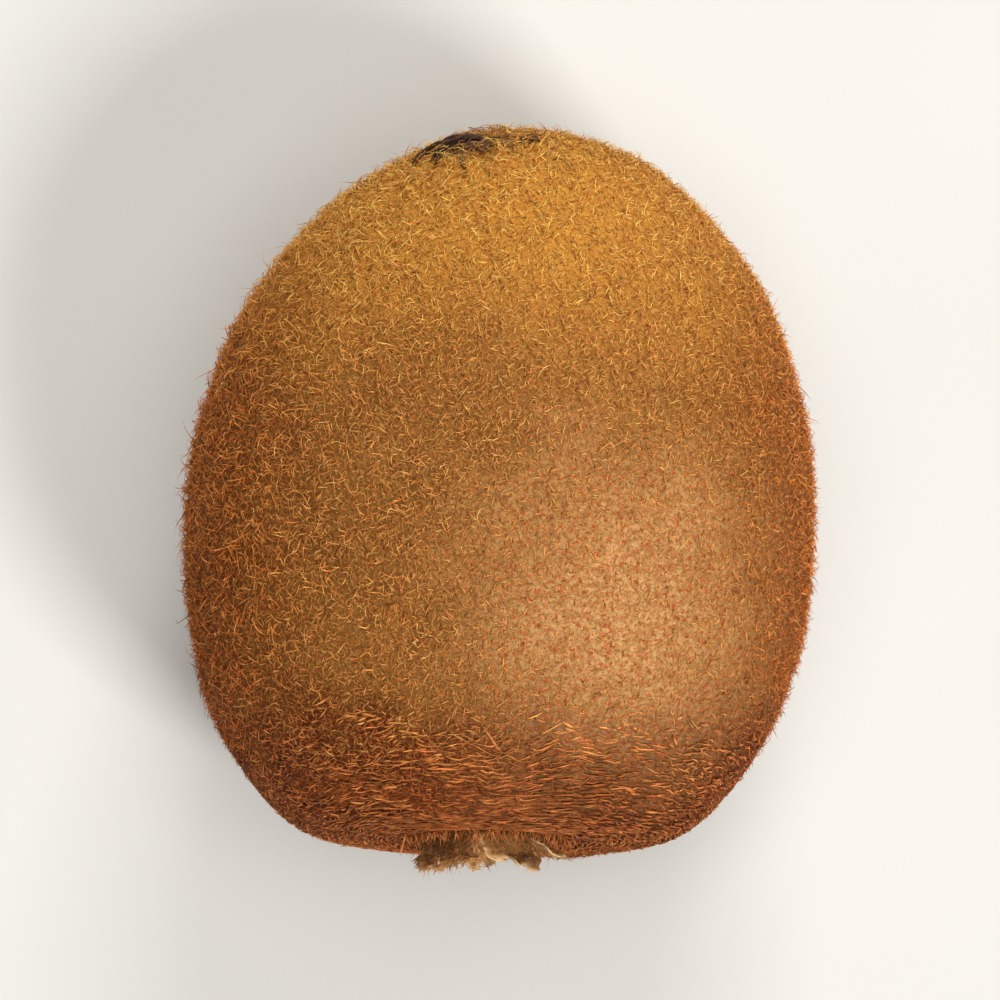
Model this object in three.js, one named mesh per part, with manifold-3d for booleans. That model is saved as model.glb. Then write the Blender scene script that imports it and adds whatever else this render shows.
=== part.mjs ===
// A whole kiwi fruit lying on its side on the flatter side of its oval section.
// Millimetres, +Z up. +Y points to the blossom end with its dried styles, -Y to the
// stem end with its ring of dried sepals, and the fruit rests on a small flat spot.
// The origin is the middle of the underside of the bounding box.
import * as THREE from "three";
import { mergeVertices } from "three/addons/utils/BufferGeometryUtils.js";
import Module from "manifold-3d";

// ---- driving dimensions (mm, unless noted) ----
const HALF_LENGTH = 31.81; // mean half length along the core, before the stem end is flattened
const HALF_WIDTH = 26.28; // half of the wide side of the oval section
const HALF_HEIGHT = 23.5; // half of the narrow side, which stands up
const END_DIFFERENCE = 1.43; // the blossom half is this much longer, the stem half this much shorter
const FULLNESS = 2.129; // exponent of the outline: 2 is an ellipse, more is boxier
const FULLNESS_DIFFERENCE = -0.122; // the stem end is blunter than the blossom end
const STEM_LEVEL = 26.0; // the stem end is flattened at this distance from the middle
const STEM_SOFTNESS = 0.6; // how softly it turns into the flat
const STEM_SKEW = 0.0195; // the flat stem end isn't quite square to the core, mm per mm
const LEAN = 0.0268; // sideways drift of the core, mm per mm of length
const BLOSSOM_LEAN = 0.0009; // further drift of the blossom half, per mm
const BEND_RADIUS = 400; // both ends turn up a little: radius of the core's curve
const REST_TILT_DEG = -1.6; // turn about X that puts the weight over the flat spot
const FLAT_DEPTH = 0.36; // how much the resting side is flattened

const BASIN = { x: -0.3, z: 0.3, depth: 1.1, radius: 3.4 }; // stem basin
const BASIN_RIM = { height: 0.25, at: 9.0, width: 3.5 };
const BEAK = { x: -2.6, z: 6.6, height: 0.55, radius: 4.0 }; // blunt beak at the blossom end
const BEAK_PIT = { depth: 0.75, radius: 1.7 };

const GAP = 0.3; // clearance between the dried pieces and the skin
const SEPALS = [
  // direction round the scar (degrees, 0 = +X, 90 = up), distance of the foot from its middle, length, half width,
  // slope from the skin at the foot, in the middle and at the tip (degrees), sideways sweep (degrees)
  { name: "sepal_1", dir: 134, start: 2.3, length: 4.4, half: 3.5, foot: 16, middle: 48, end: 36, sweep: 4 },
  { name: "sepal_2", dir: 62, start: 2.2, length: 4.4, half: 2.9, foot: 16, middle: 52, end: 26, sweep: -6 },
  { name: "sepal_3", dir: 346, start: 2.1, length: 4.1, half: 2.1, foot: 6, middle: 20, end: 4, sweep: 8 },
  { name: "sepal_4", dir: 274, start: 2.1, length: 4.2, half: 2.2, foot: 8, middle: 24, end: 6, sweep: -8 },
  { name: "sepal_5", dir: 206, start: 2.1, length: 4.4, half: 2.2, foot: 10, middle: 34, end: 20, sweep: 4 },
];
const SEPAL_THICKNESS = 0.62;
const STYLES = [
  // direction (degrees), length, lift of the tip
  [176, 5.4, 0.7],
  [194, 4.8, 1.1],
  [160, 5.0, 0.6],
  [142, 3.9, 0.9],
  [212, 3.6, 0.8],
  [112, 2.6, 0.8],
  [84, 2.3, 1.0],
  [58, 2.2, 0.7],
  [28, 2.4, 0.8],
  [2, 2.2, 0.6],
  [334, 2.1, 0.9],
  [304, 2.3, 0.8],
  [272, 2.2, 0.7],
  [244, 2.5, 0.9],
];
const STYLE_RADIUS = 0.26;
const HUB_RADIUS = 1.15;

const RINGS = 56; // faces from pole to pole
const SECTORS = 84; // faces round the core

// ---- the fruit's surface ----
// The outline's distance from the middle, for the angle phi from the +Y pole.
function outline(phi) {
  const c = Math.cos(phi),
    s = Math.sin(phi),
    k = (c * (3 - c * c)) / 2,
    a = HALF_LENGTH + END_DIFFERENCE * k,
    n = FULLNESS + FULLNESS_DIFFERENCE * k;
  return Math.pow(Math.pow(Math.abs(c) / a, n) + Math.pow(Math.max(s, 0) / HALF_WIDTH, n), -1 / n);
}

// A real fruit isn't quite round: slow swellings round its section.
function swelling(phi, theta) {
  const s = Math.sin(phi),
    c = Math.cos(phi);
  return 1 + s * s * (0.006 * Math.sin(3 * theta + 0.9) + 0.006 * c * Math.sin(2 * theta - 0.5) - 0.004 * Math.cos(4 * theta));
}

// A point of the skin for the angle phi from the blossom pole and theta round the core.
function skin(phi, theta) {
  const rho = outline(phi),
    r = rho * Math.sin(phi) * swelling(phi, theta);
  let x = r * Math.cos(theta),
    y = rho * Math.cos(phi),
    z = (r * Math.sin(theta) * HALF_HEIGHT) / HALF_WIDTH;
  if (phi > Math.PI / 2) {
    const d = Math.hypot(x - BASIN.x, z - BASIN.z);
    y += STEM_SOFTNESS * Math.log1p(Math.exp((-y - STEM_LEVEL) / STEM_SOFTNESS));
    y -= STEM_SKEW * x * Math.cos(phi) ** 2;
    y += BASIN.depth * Math.exp(-((d / BASIN.radius) ** 2));
    y -= BASIN_RIM.height * Math.exp(-(((d - BASIN_RIM.at) / BASIN_RIM.width) ** 2));
  } else {
    const d = Math.hypot(x - BEAK.x, z - BEAK.z);
    y += BEAK.height * Math.exp(-((d / BEAK.radius) ** 2));
    y -= BEAK_PIT.depth * Math.exp(-((d / BEAK_PIT.radius) ** 2));
  }
  // each section turns with the core's curve
  const turn = y / BEND_RADIUS,
    rise = (y * y) / (2 * BEND_RADIUS);
  y -= z * Math.sin(turn);
  z = rise + z * Math.cos(turn);
  return new THREE.Vector3(x + LEAN * y + BLOSSOM_LEAN * Math.max(y, 0) ** 2, y, z);
}

// The skin's point over (x, z) of the unbent end: blossom end for end = 1, stem end for end = -1.
function endPoint(end, x, z) {
  const zz = (z * HALF_WIDTH) / HALF_HEIGHT,
    theta = Math.atan2(zz, x),
    want = Math.hypot(x, zz);
  let near = end > 0 ? 0 : Math.PI,
    far = Math.PI / 2;
  for (let i = 0; i < 50; i++) {
    const mid = (near + far) / 2;
    if (outline(mid) * Math.sin(mid) * swelling(mid, theta) < want) near = mid;
    else far = mid;
  }
  // stay on the chosen end's side of the middle
  return skin(end > 0 ? Math.min(near, Math.PI / 2) : Math.max(near, Math.PI / 2 + 1e-9), theta);
}

function endNormal(end, x, z) {
  const e = 0.05,
    u = endPoint(end, x + e, z).sub(endPoint(end, x - e, z)),
    v = endPoint(end, x, z + e).sub(endPoint(end, x, z - e)),
    n = u.cross(v).normalize();
  return n.y * end < 0 ? n.negate() : n;
}

// ---- closed meshes ----
function closed(positions, triangles) {
  const g = new THREE.BufferGeometry();
  g.setAttribute("position", new THREE.Float32BufferAttribute(positions, 3));
  g.setIndex(triangles);
  let six = 0;
  const a = new THREE.Vector3(),
    b = new THREE.Vector3(),
    c = new THREE.Vector3();
  for (let i = 0; i < triangles.length; i += 3) {
    a.fromArray(positions, 3 * triangles[i]);
    b.fromArray(positions, 3 * triangles[i + 1]);
    c.fromArray(positions, 3 * triangles[i + 2]);
    six += a.dot(b.cross(c));
  }
  if (six < 0)
    for (let i = 0; i < triangles.length; i += 3)
      [triangles[i + 1], triangles[i + 2]] = [triangles[i + 2], triangles[i + 1]];
  g.setIndex(triangles);
  return g;
}

// Rings of points joined into a skin, with both ends closed by a fan.
function loft(rings) {
  const count = rings[0].length,
    positions = [],
    triangles = [];
  for (const ring of rings) for (const p of ring) positions.push(p.x, p.y, p.z);
  for (let i = 0; i + 1 < rings.length; i++)
    for (let j = 0; j < count; j++) {
      const a = i * count + j,
        b = i * count + ((j + 1) % count);
      triangles.push(a, a + count, b, b, a + count, b + count);
    }
  for (const [i, flip] of [
    [0, true],
    [rings.length - 1, false],
  ]) {
    const middle = positions.length / 3,
      m = rings[i].reduce((s, p) => s.add(p), new THREE.Vector3()).divideScalar(count);
    positions.push(m.x, m.y, m.z);
    for (let j = 0; j < count; j++) {
      const a = i * count + j,
        b = i * count + ((j + 1) % count);
      if (flip) triangles.push(a, b, middle);
      else triangles.push(b, a, middle);
    }
  }
  return closed(positions, triangles);
}

const wasm = await Module();
wasm.setup();

function solid(geometry) {
  const g = geometry.clone();
  g.deleteAttribute("normal");
  g.deleteAttribute("uv");
  const merged = mergeVertices(g, 1e-4);
  return new wasm.Manifold(
    new wasm.Mesh({
      numProp: 3,
      vertProperties: new Float32Array(merged.attributes.position.array),
      triVerts: new Uint32Array(merged.index.array),
    }),
  );
}

function geometryOf(manifold) {
  const m = manifold.getMesh(),
    v = [];
  for (let i = 0; i < m.numVert; i++)
    v.push(m.vertProperties[i * m.numProp], m.vertProperties[i * m.numProp + 1], m.vertProperties[i * m.numProp + 2]);
  const g = new THREE.BufferGeometry();
  g.setAttribute("position", new THREE.Float32BufferAttribute(v, 3));
  g.setIndex(Array.from(m.triVerts));
  return g;
}

// ---- the fruit ----
function fruitGeometry() {
  const positions = [],
    triangles = [],
    at = (p) => positions.push(p.x, p.y, p.z) / 3 - 1,
    first = at(skin(0, 0)),
    rows = [];
  for (let i = 1; i < RINGS; i++) {
    const t = i / RINGS,
      phi = Math.PI * (t - 0.05 * Math.sin(2 * Math.PI * t)), // finer towards the two ends
      row = [];
    for (let j = 0; j < SECTORS; j++) row.push(at(skin(phi, (2 * Math.PI * j) / SECTORS)));
    rows.push(row);
  }
  const last = at(skin(Math.PI, 0));
  for (let j = 0; j < SECTORS; j++) {
    const k = (j + 1) % SECTORS;
    triangles.push(first, rows[0][j], rows[0][k]);
    for (let i = 0; i + 1 < rows.length; i++) {
      const a = rows[i][j],
        b = rows[i][k],
        c = rows[i + 1][j],
        d = rows[i + 1][k];
      triangles.push(a, c, b, b, c, d);
    }
    triangles.push(last, rows[rows.length - 1][k], rows[rows.length - 1][j]);
  }
  return closed(positions, triangles);
}

// ---- a dried sepal: a broad flap that leaves the skin, stands out and bends back at its tip ----
function sepalGeometry({ dir, start, length, half, foot, middle, end, sweep }) {
  const rings = [],
    steps = 10,
    around = 12,
    fine = 20, // steps of the curve between two rings
    ease = (a, b, t) => THREE.MathUtils.smoothstep(t, a, b),
    slope = (t) => THREE.MathUtils.degToRad(THREE.MathUtils.lerp(THREE.MathUtils.lerp(foot, middle, ease(0, 0.5, t)), end, ease(0.62, 1, t)));
  let reach = start,
    climb = 0;
  for (let i = 0; i <= steps; i++) {
    const t = i / steps,
      angle = THREE.MathUtils.degToRad(dir + sweep * t),
      x = BASIN.x + reach * Math.cos(angle),
      z = BASIN.z + reach * Math.sin(angle),
      n = endNormal(-1, x, z),
      base = endPoint(-1, x, z),
      ahead = endPoint(-1, x + 0.1 * Math.cos(angle), z + 0.1 * Math.sin(angle)).sub(base).normalize(),
      side = new THREE.Vector3().crossVectors(ahead, n).normalize(),
      body = 0.56 + 0.44 * Math.sin(Math.PI * (0.06 + 0.8 * t)) ** 1.1,
      tip = t > 0.8 ? 0.42 + 0.58 * Math.sqrt(Math.max(0, 1 - ((t - 0.8) / 0.2) ** 2)) : 1,
      width = Math.min(half * body * tip, 0.6 * reach), // narrow enough at its foot to clear its neighbours
      thick = SEPAL_THICKNESS * (1 - 0.3 * t),
      ring = [];
    for (let j = 0; j < around; j++) {
      const a = (2 * Math.PI * j) / around,
        u = Math.cos(a);
      ring.push(
        base
          .clone()
          .addScaledVector(side, width * u)
          .addScaledVector(n, GAP + 0.1 + thick / 2 + (thick / 2) * Math.sin(a) + climb + 0.04 * (width * u) ** 2),
      );
    }
    rings.push(ring);
    for (let k = 0; k < fine; k++) {
      const at = slope(t + (k + 0.5) / (fine * steps));
      reach += (length / (fine * steps)) * Math.cos(at);
      climb += (length / (fine * steps)) * Math.sin(at);
    }
  }
  return loft(rings);
}

// ---- the dried styles: thin bent threads grown together on a small boss ----
function styleTuftGeometry() {
  const n = endNormal(1, BEAK.x, BEAK.z),
    foot = endPoint(1, BEAK.x, BEAK.z).addScaledVector(n, GAP + 0.15),
    profile = [
      [0, 0],
      [HUB_RADIUS * 0.55, 0.02],
      [HUB_RADIUS, 0.4],
      [HUB_RADIUS * 1.02, 0.85],
      [HUB_RADIUS * 0.7, 1.25],
      [0, 1.4],
    ].map(([r, h]) => new THREE.Vector2(r, h)),
    hub = new THREE.LatheGeometry(profile, 16),
    turn = new THREE.Quaternion().setFromUnitVectors(new THREE.Vector3(0, 1, 0), n);
  hub.applyQuaternion(turn).translate(foot.x, foot.y, foot.z);
  let tuft = solid(hub);
  for (const [dir, length, lift] of STYLES) {
    const angle = THREE.MathUtils.degToRad(dir),
      steps = 6,
      rings = [];
    for (let i = 0; i <= steps; i++) {
      const t = i / steps,
        reach = 0.25 + length * t,
        x = BEAK.x + reach * Math.cos(angle),
        z = BEAK.z + reach * Math.sin(angle),
        up = endNormal(1, x, z),
        p = endPoint(1, x, z),
        ahead = endPoint(1, x + 0.1 * Math.cos(angle), z + 0.1 * Math.sin(angle)).sub(p).normalize(),
        side = new THREE.Vector3().crossVectors(ahead, up).normalize(),
        r = STYLE_RADIUS * (1 - 0.3 * t),
        h = GAP + r + 0.1 + 0.62 * Math.max(0, 1 - t * 2.2) + lift * t * t * 0.6 + 0.25 * Math.sin(Math.PI * t);
      p.addScaledVector(up, h);
      const ring = [];
      for (let j = 0; j < 6; j++) {
        const a = (2 * Math.PI * j) / 6;
        ring.push(p.clone().addScaledVector(side, r * Math.cos(a)).addScaledVector(up, r * Math.sin(a)));
      }
      rings.push(ring);
    }
    tuft = tuft.add(solid(loft(rings)));
  }
  return geometryOf(tuft);
}

// ---- assembly ----
const tilt = new THREE.Matrix4().makeRotationX(THREE.MathUtils.degToRad(REST_TILT_DEG));
const whole = fruitGeometry().applyMatrix4(tilt);
whole.computeBoundingBox();
const cutLevel = whole.boundingBox.min.z + FLAT_DEPTH;
const below = new THREE.BoxGeometry(90, 90, 20).translate(0, 0, cutLevel - 10);
const fruit = geometryOf(solid(whole).subtract(solid(below)));

const skinMaterial = new THREE.MeshStandardMaterial({ color: 0xa66f37, roughness: 0.85, metalness: 0 });
const sepalMaterial = new THREE.MeshStandardMaterial({ color: 0x5e4427, roughness: 0.9, metalness: 0 });
const styleMaterial = new THREE.MeshStandardMaterial({ color: 0x2b1d13, roughness: 0.8, metalness: 0 });

const kiwi = new THREE.Group();
function put(name, geometry, material) {
  const g = geometry.index ? geometry.toNonIndexed() : geometry;
  g.computeVertexNormals();
  const mesh = new THREE.Mesh(g, material);
  mesh.name = name;
  kiwi.add(mesh);
}
put("fruit", fruit, skinMaterial);
for (const s of SEPALS) put(s.name, sepalGeometry(s).applyMatrix4(tilt), sepalMaterial);
put("style_tuft", styleTuftGeometry().applyMatrix4(tilt), styleMaterial);

// The origin goes to the middle of the underside.
const box = new THREE.Box3().setFromObject(kiwi);
kiwi.position.set(-(box.min.x + box.max.x) / 2, -(box.min.y + box.max.y) / 2, -box.min.z);

export default kiwi;
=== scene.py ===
import math

import bpy
import numpy as np
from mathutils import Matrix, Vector


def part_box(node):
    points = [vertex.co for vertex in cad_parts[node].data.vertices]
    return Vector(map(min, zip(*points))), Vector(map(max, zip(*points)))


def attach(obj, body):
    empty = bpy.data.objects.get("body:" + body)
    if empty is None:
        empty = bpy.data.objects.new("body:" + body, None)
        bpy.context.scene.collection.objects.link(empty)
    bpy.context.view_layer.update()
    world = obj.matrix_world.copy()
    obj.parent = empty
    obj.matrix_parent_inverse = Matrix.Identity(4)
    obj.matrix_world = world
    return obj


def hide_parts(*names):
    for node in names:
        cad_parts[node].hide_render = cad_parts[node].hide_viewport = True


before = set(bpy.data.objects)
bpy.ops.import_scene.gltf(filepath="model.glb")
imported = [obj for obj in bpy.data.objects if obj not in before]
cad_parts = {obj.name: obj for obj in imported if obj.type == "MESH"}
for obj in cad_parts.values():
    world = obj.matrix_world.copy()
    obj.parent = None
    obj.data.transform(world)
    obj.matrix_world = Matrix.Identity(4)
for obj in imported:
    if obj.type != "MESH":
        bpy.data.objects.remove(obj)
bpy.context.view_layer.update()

MM = 0.001

# ------------------------------------------------------------------ numbers of the fruit (mm)
HL, HW, HH = 31.81, 26.28, 23.5  # half length before the stem end is flattened, half width, half height
ED, FU, FD = 1.43, 2.129, -0.122  # end difference, fullness and its difference
YL, YS = 26.0, 0.6  # where the stem end is flattened, and how softly
LEAN, LEAN2, SKEW = 0.0268, 0.0009, 0.0195
RB = 400.0  # how the core bends up towards both ends
TILT = math.radians(-1.6)
FLAT = 0.36
BAS = dict(x=-0.3, z=0.3, d=1.1, r=3.4)  # stem basin
RIM = dict(h=0.25, at=9.0, w=3.5)
BEAK = dict(x=-2.6, z=6.6, h=0.55, r=4.0)
PIT = dict(d=0.75, r=1.7)


# ------------------------------------------------------------------ smooth seeded noise, in numpy
def _hash(ix, iy, iz, seed):
    with np.errstate(over="ignore"):
        h = (
            ix.astype(np.uint32) * np.uint32(374761393)
            + iy.astype(np.uint32) * np.uint32(668265263)
            + iz.astype(np.uint32) * np.uint32(2147483647)
            + np.uint32((seed * 1274126177 + 12345) & 0xFFFFFFFF)
        )
        h = (h ^ (h >> np.uint32(13))) * np.uint32(1274126177)
        h = (h ^ (h >> np.uint32(16))) * np.uint32(2246822519)
        h = h ^ (h >> np.uint32(15))
    return h.astype(np.float64) / 4294967295.0


def noise(p, seed=0):
    """Value noise from 0 to 1 at the points p (n, 3)."""
    p = np.asarray(p, float)
    f = np.floor(p)
    i = f.astype(np.int64)
    t = p - f
    t = t * t * t * (t * (t * 6 - 15) + 10)
    out = 0.0
    for dx in (0, 1):
        for dy in (0, 1):
            for dz in (0, 1):
                w = (
                    (t[..., 0] if dx else 1 - t[..., 0])
                    * (t[..., 1] if dy else 1 - t[..., 1])
                    * (t[..., 2] if dz else 1 - t[..., 2])
                )
                out = out + w * _hash(i[..., 0] + dx, i[..., 1] + dy, i[..., 2] + dz, seed)
    return out


def fbm(p, octaves=3, seed=0, gain=0.5):
    total, amp, out = 0.0, 1.0, 0.0
    q = np.asarray(p, float)
    for o in range(octaves):
        out = out + amp * noise(q + 17.3 * o, seed + 31 * o)
        total += amp
        amp *= gain
        q = q * 2.03
    return out / total


def smooth(a, b, x):
    t = np.clip((x - a) / (b - a), 0, 1)
    return t * t * (3 - 2 * t)


def mix(a, b, t):
    return a + (b - a) * t


def unit(v):
    return v / np.maximum(np.linalg.norm(v, axis=-1, keepdims=True), 1e-12)


# ------------------------------------------------------------------ the skin's surface
def outline(phi):
    c, s = np.cos(phi), np.sin(phi)
    k = c * (3 - c * c) / 2
    a, n = HL + ED * k, FU + FD * k
    return ((np.abs(c) / a) ** n + (np.maximum(s, 0) / HW) ** n) ** (-1 / n)


def swelling(phi, th):
    s, c = np.sin(phi), np.cos(phi)
    return 1 + s * s * (
        0.006 * np.sin(3 * th + 0.9) + 0.006 * c * np.sin(2 * th - 0.5) - 0.004 * np.cos(4 * th)
    )


def unbent(phi, th):
    """x, y, z before the core is bent."""
    rho = outline(phi)
    r = rho * np.sin(phi) * swelling(phi, th)
    return r * np.cos(th), rho * np.cos(phi), r * np.sin(th) * HH / HW


def bend(x, y, z):
    turn = y / RB
    rise = y * y / (2 * RB)
    y2 = y - z * np.sin(turn)
    z2 = rise + z * np.cos(turn)
    x2 = x + LEAN * y2 + LEAN2 * np.maximum(y2, 0) ** 2
    return np.stack([x2, y2 * math.cos(TILT) - z2 * math.sin(TILT), y2 * math.sin(TILT) + z2 * math.cos(TILT)], -1)


def shaped(x, y, z, phi):
    """The flattened stem end with its basin and the beak, then the bend."""
    d = np.hypot(x - BAS["x"], z - BAS["z"])
    e = np.hypot(x - BEAK["x"], z - BEAK["z"])
    y = y + np.where(
        phi > np.pi / 2,
        YS * np.logaddexp(0, (-y - YL) / YS)
        + BAS["d"] * np.exp(-((d / BAS["r"]) ** 2))
        - RIM["h"] * np.exp(-(((d - RIM["at"]) / RIM["w"]) ** 2))
        - SKEW * x * np.cos(phi) ** 2,
        BEAK["h"] * np.exp(-((e / BEAK["r"]) ** 2)) - PIT["d"] * np.exp(-((e / PIT["r"]) ** 2)),
    )
    return bend(x, y, z)


def skin(phi, th):
    x, y, z = unbent(phi, th)
    return shaped(x, y, z, phi)


def end_phi(end, x, z):
    zz = z * HW / HH
    th = np.arctan2(zz, x)
    want = np.hypot(x, zz)
    near = np.full_like(want, 1e-5 if end > 0 else math.pi - 1e-5)
    far = np.full_like(want, math.pi / 2)
    for _ in range(40):
        mid = (near + far) / 2
        r = outline(mid) * np.sin(mid) * swelling(mid, th)
        low = r < want
        near = np.where(low, mid, near)
        far = np.where(low, far, mid)
    return near, th


def end_point(end, x, z):
    phi, th = end_phi(end, np.asarray(x, float), np.asarray(z, float))
    return skin(phi, th)


def end_frame(end, x, z, along):
    """Point, outward normal, direction along the surface and sideways, at (x, z) of one end."""
    e = 0.05
    p = end_point(end, x, z)
    u = end_point(end, x + e, z) - end_point(end, x - e, z)
    v = end_point(end, x, z + e) - end_point(end, x, z - e)
    n = unit(np.cross(u, v))
    n = np.where(n[..., 1:2] * end < 0, -n, n)
    q = end_point(end, x + 0.1 * np.cos(along), z + 0.1 * np.sin(along))
    t = unit(q - p)
    return p, n, t, unit(np.cross(t, n))


# the fruit's place in the CAD frame
_ph, _th = np.meshgrid(np.linspace(1e-4, math.pi - 1e-4, 400), np.linspace(0, 2 * math.pi, 480, endpoint=False))
_s = skin(_ph, _th).reshape(-1, 3)
_lo, _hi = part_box("fruit")
_lo, _hi = np.array(_lo) / MM, np.array(_hi) / MM
OFFSET = (_lo + _hi) / 2 - (_s.min(0) + _s.max(0)) / 2
OFFSET[2] = _lo[2] - (_s[:, 2].min() + FLAT)
print("place of the fruit in the frame, mm:", OFFSET)


def place(p):
    """From the fruit's own millimetres to the frame's metres."""
    return (p + OFFSET) * MM


# the length along the skin from the stem pole, and back
_fp = np.linspace(math.pi / 2, math.pi - 1e-5, 1200)
_fs = skin(_fp, np.zeros_like(_fp))
_fa = np.concatenate([[0], np.cumsum(np.linalg.norm(np.diff(_fs, axis=0), axis=1))])
_fa = _fa[-1] - _fa


def arc_of(phi):
    return np.interp(phi, _fp, _fa)


def phi_of(arc):
    return np.interp(arc, _fa[::-1], _fp[::-1])


ROW = 0.52  # the ridges of matted hair round the stem end are this far apart, mm


def sway(x, y, z):
    """How far the ridges swing along the core, mm."""
    p = np.stack([x, y, z], -1)
    return 2.0 * (fbm(p / 7.0, 2, 71) - 0.5) + 0.6 * (noise(p / 1.25, 72) - 0.5) + 0.55 * (noise(p / 2.6, 73) - 0.5)


# ------------------------------------------------------------------ meshes
def new_mesh(name, verts, faces, uv=None, smooth_shade=True):
    """verts in metres; faces (n, 3) or (n, 4); uv one pair for each corner."""
    faces = np.asarray(faces, np.int32)
    n = faces.shape[1]
    me = bpy.data.meshes.new(name)
    me.vertices.add(len(verts))
    me.vertices.foreach_set("co", np.asarray(verts, np.float32).ravel())
    me.loops.add(faces.size)
    me.loops.foreach_set("vertex_index", faces.ravel())
    me.polygons.add(len(faces))
    me.polygons.foreach_set("loop_start", np.arange(0, faces.size, n, dtype=np.int32))
    me.update(calc_edges=True)
    if uv is not None:
        layer = me.uv_layers.new(name="OFBake")
        layer.data.foreach_set("uv", np.asarray(uv, np.float32).ravel())
    if smooth_shade:
        me.shade_smooth()
    ob = bpy.data.objects.new(name, me)
    bpy.context.scene.collection.objects.link(ob)
    return ob


def add_value(ob, name, values):
    a = ob.data.attributes.new(name, "FLOAT", "POINT")
    a.data.foreach_set("value", np.asarray(values, np.float32).ravel())


def add_colour(ob, name, values):
    a = ob.data.attributes.new(name, "FLOAT_COLOR", "POINT")
    rgba = np.ones((len(values), 4), np.float32)
    rgba[:, :3] = values
    a.data.foreach_set("color", rgba.ravel())


def lin(*rgb):
    """sRGB from 0 to 255, to linear."""
    c = np.array(rgb, float) / 255
    return np.where(c <= 0.04045, c / 12.92, ((c + 0.055) / 1.055) ** 2.4)


def vertex_normals(v, f):
    n = np.zeros_like(v)
    fn = np.cross(v[f[:, 1]] - v[f[:, 0]], v[f[:, 2]] - v[f[:, 0]])
    for k in range(3):
        np.add.at(n, f[:, k], fn)
    return unit(n)


# ------------------------------------------------------------------ zones of the skin
def zones(x, y, z):
    """Where the skin is golden (a painted rim light over denser hair), rubbed (the upper patch paler, partly a painted
    highlight), leathery, and darker on the flanks (painted shade): from the unbent x, y, z (mm).
    """
    p = np.stack([x, y, z], -1)
    wob = fbm(p / 5.5, 3, 3) - 0.5
    fine = fbm(p / 1.7, 2, 5) - 0.5
    wander = 15 * (fbm(p / 11.0, 2, 9) - 0.5) * (1 - smooth(1, 10, z))
    stem = smooth(-11.5, -26.5, y + 8 * wob + 3.0 * fine + wander)
    # painted rim light: golden and bright towards the blossom end, less so on the right, over the denser, longer hair
    # there
    gold_and_painted_rim_light = smooth(6.0, 28.0, y + 9 * wob) * (1 - 0.3 * smooth(3, 17, x + 4 * wob))
    # the rubbed patch on the upper side, and smaller ones elsewhere; the upper patch's pale colour is partly a painted
    # highlight
    up = smooth(2, 9, z)
    d = np.hypot((x - 10.2) / 11.7, (y + 10.8) / 14.5)
    worn_and_painted_sheen = (1 - smooth(0.05, 1.72, d + 0.6 * wob + 0.25 * fine)) * up
    other = fbm(p / 11.0 + 40, 2, 8)
    worn_and_painted_sheen = np.maximum(worn_and_painted_sheen, 0.42 * smooth(0.50, 0.88, other + 0.25 * fine) * (1 - smooth(-2, 6, z)) * (1 - gold_and_painted_rim_light))
    left = smooth(2, -20, x + 5 * wob) * smooth(-10, 2, z) * (0.25 + 0.75 * smooth(-19, -5, y))
    # painted shade: the flanks are made darker and redder, standing in for the light falling off on the sides
    flank_painted_shade = smooth(14.5, 25, np.abs(x) + 4 * wob + 1.5 * smooth(2, -6, x)) * (1 - 0.6 * gold_and_painted_rim_light)
    return dict(stem=stem, gold_and_painted_rim_light=gold_and_painted_rim_light, worn_and_painted_sheen=worn_and_painted_sheen * (1 - 0.5 * stem) * (1 - 0.5 * flank_painted_shade), left=left, flank_painted_shade=flank_painted_shade)


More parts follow.
